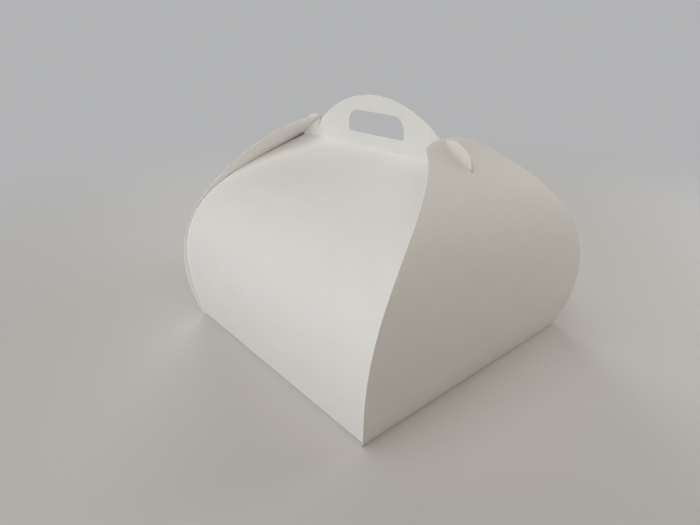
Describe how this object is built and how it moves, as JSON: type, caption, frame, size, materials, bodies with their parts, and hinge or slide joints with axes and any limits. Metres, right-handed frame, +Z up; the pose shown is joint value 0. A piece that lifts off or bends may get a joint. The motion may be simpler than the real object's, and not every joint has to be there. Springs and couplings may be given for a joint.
{
  "type": "cake box",
  "caption": "Folded white card cake box: square base, bowed sides, two curved flaps meeting in arched handles with a hand hole, hooks through slits in the side flaps.",
  "frame": {"origin": "centre of the underside of the base", "axes": "+X along the handles towards the right slot flap, the front handle flap faces -Y, +Z up"},
  "size_m": [0.2762, 0.2698, 0.2205],
  "materials": {
    "card": "matte white card, unprinted"
  },
  "bodies": {
    "base_and_handles": {"base_and_handle_flaps": "card"},
    "right_flap": {"right_slot_flap": "card"},
    "left_flap": {"left_slot_flap": "card"}
  },
  "joints": [
    {"name": "right_flap_opens", "type": "hinge", "parent": "base_and_handles", "child": "right_flap", "pos_m": [0.125, 0, 0.00025], "axis": [0, 1, 0], "range_deg": [0, 65]},
    {"name": "left_flap_opens", "type": "hinge", "parent": "base_and_handles", "child": "left_flap", "pos_m": [-0.125, 0, 0.00025], "axis": [0, -1, 0], "range_deg": [0, 65]}
  ]
}
